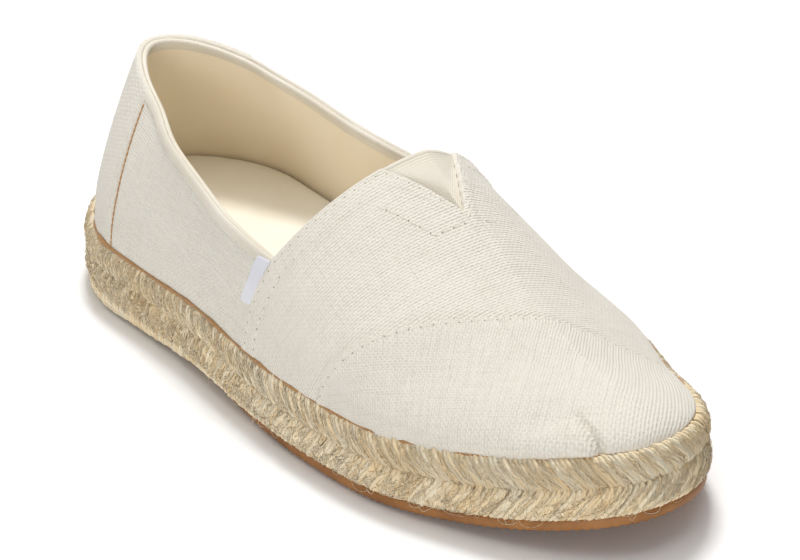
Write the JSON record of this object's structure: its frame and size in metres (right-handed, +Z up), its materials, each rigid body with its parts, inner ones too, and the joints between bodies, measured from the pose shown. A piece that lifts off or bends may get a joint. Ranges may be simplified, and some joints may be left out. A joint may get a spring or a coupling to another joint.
{
  "type": "espadrille",
  "caption": "Flat slip-on espadrille for the right foot: canvas upper with elastic gore on a braided jute rope sole with a thin rubber outsole.",
  "frame": {"origin": "under the middle of the sole, on the floor that the shoe stands on", "axes": "+X towards the toe, +Y towards the inner side of the foot, +Z up"},
  "size_m": [0.252, 0.0946, 0.0715],
  "materials": {
    "canvas": "matt plain weave cotton, natural white",
    "insole_cloth": "matt cloth, pale cream",
    "elastic": "matt ribbed elastic webbing",
    "label_cloth": "satin woven label, bare",
    "jute": "matt braided natural fibre",
    "gum_rubber": "satin gum rubber"
  },
  "bodies": {
    "root": {"outsole": "gum_rubber", "rope_sole": "jute", "insole": "insole_cloth", "upper": "canvas", "heel_panel": "canvas", "collar_binding": "canvas", "elastic_gore": "elastic", "side_tab": "label_cloth", "heel_tab": "label_cloth"}
  },
  "joints": []
}
